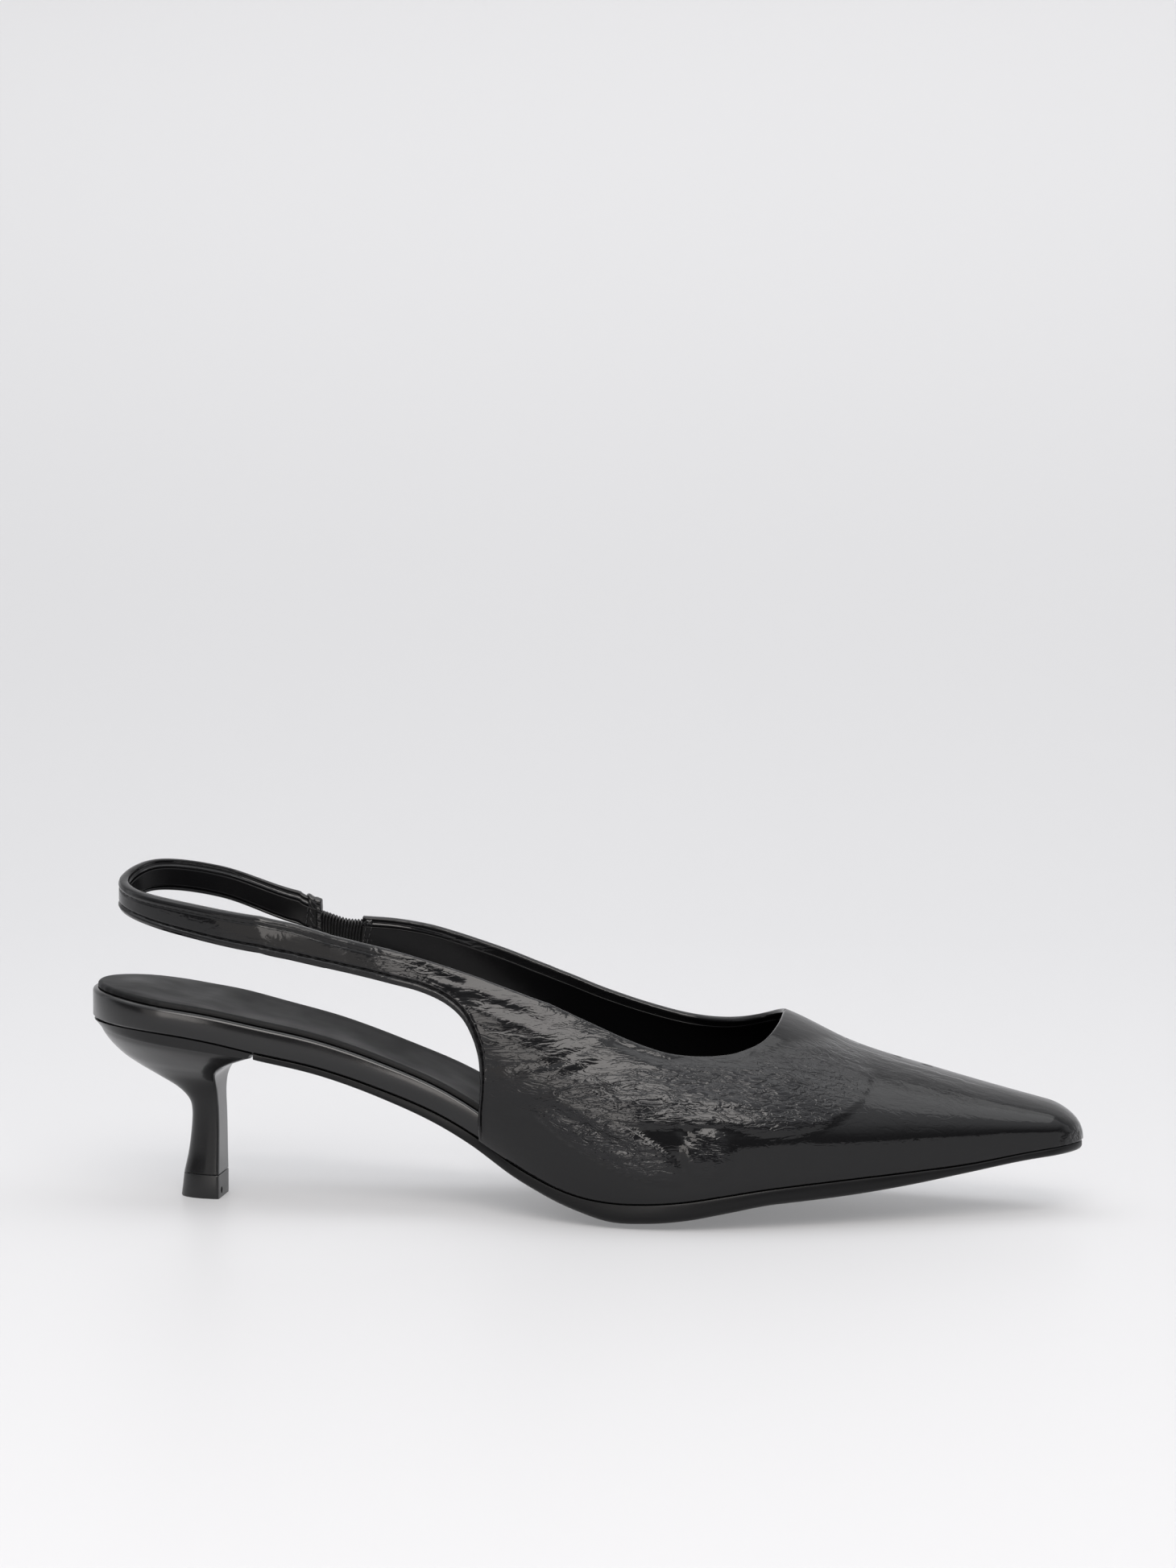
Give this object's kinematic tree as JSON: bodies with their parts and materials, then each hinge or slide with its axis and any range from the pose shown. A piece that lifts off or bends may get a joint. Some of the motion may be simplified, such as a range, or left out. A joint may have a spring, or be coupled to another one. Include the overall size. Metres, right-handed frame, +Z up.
{
  "type": "slingback pump",
  "caption": "Pointed-toe slingback pump in black patent with a kitten heel, open sides, a sling strap and a short elastic insert.",
  "frame": {"origin": "centre of the bounding box in plan, on the floor that the sole and the top lift stand on", "axes": "+X to the toe, +Y to the inner (medial) side, +Z up"},
  "size_m": [0.2598, 0.08, 0.0881],
  "materials": {
    "patent_leather": "glossy crinkled patent",
    "ribbed_elastic": "matt ribbed elastic",
    "wrapped_rim": "smooth satin gloss",
    "sock_leather": "padded satin",
    "outsole_leather": "satin black",
    "heel_gloss": "wrapped gloss",
    "lift_rubber": "satin"
  },
  "bodies": {
    "root": {"upper": "patent_leather", "elastic": "ribbed_elastic", "footbed": "wrapped_rim", "sock": "sock_leather", "outsole": "outsole_leather", "heel": "heel_gloss", "top_lift": "lift_rubber"}
  },
  "joints": []
}
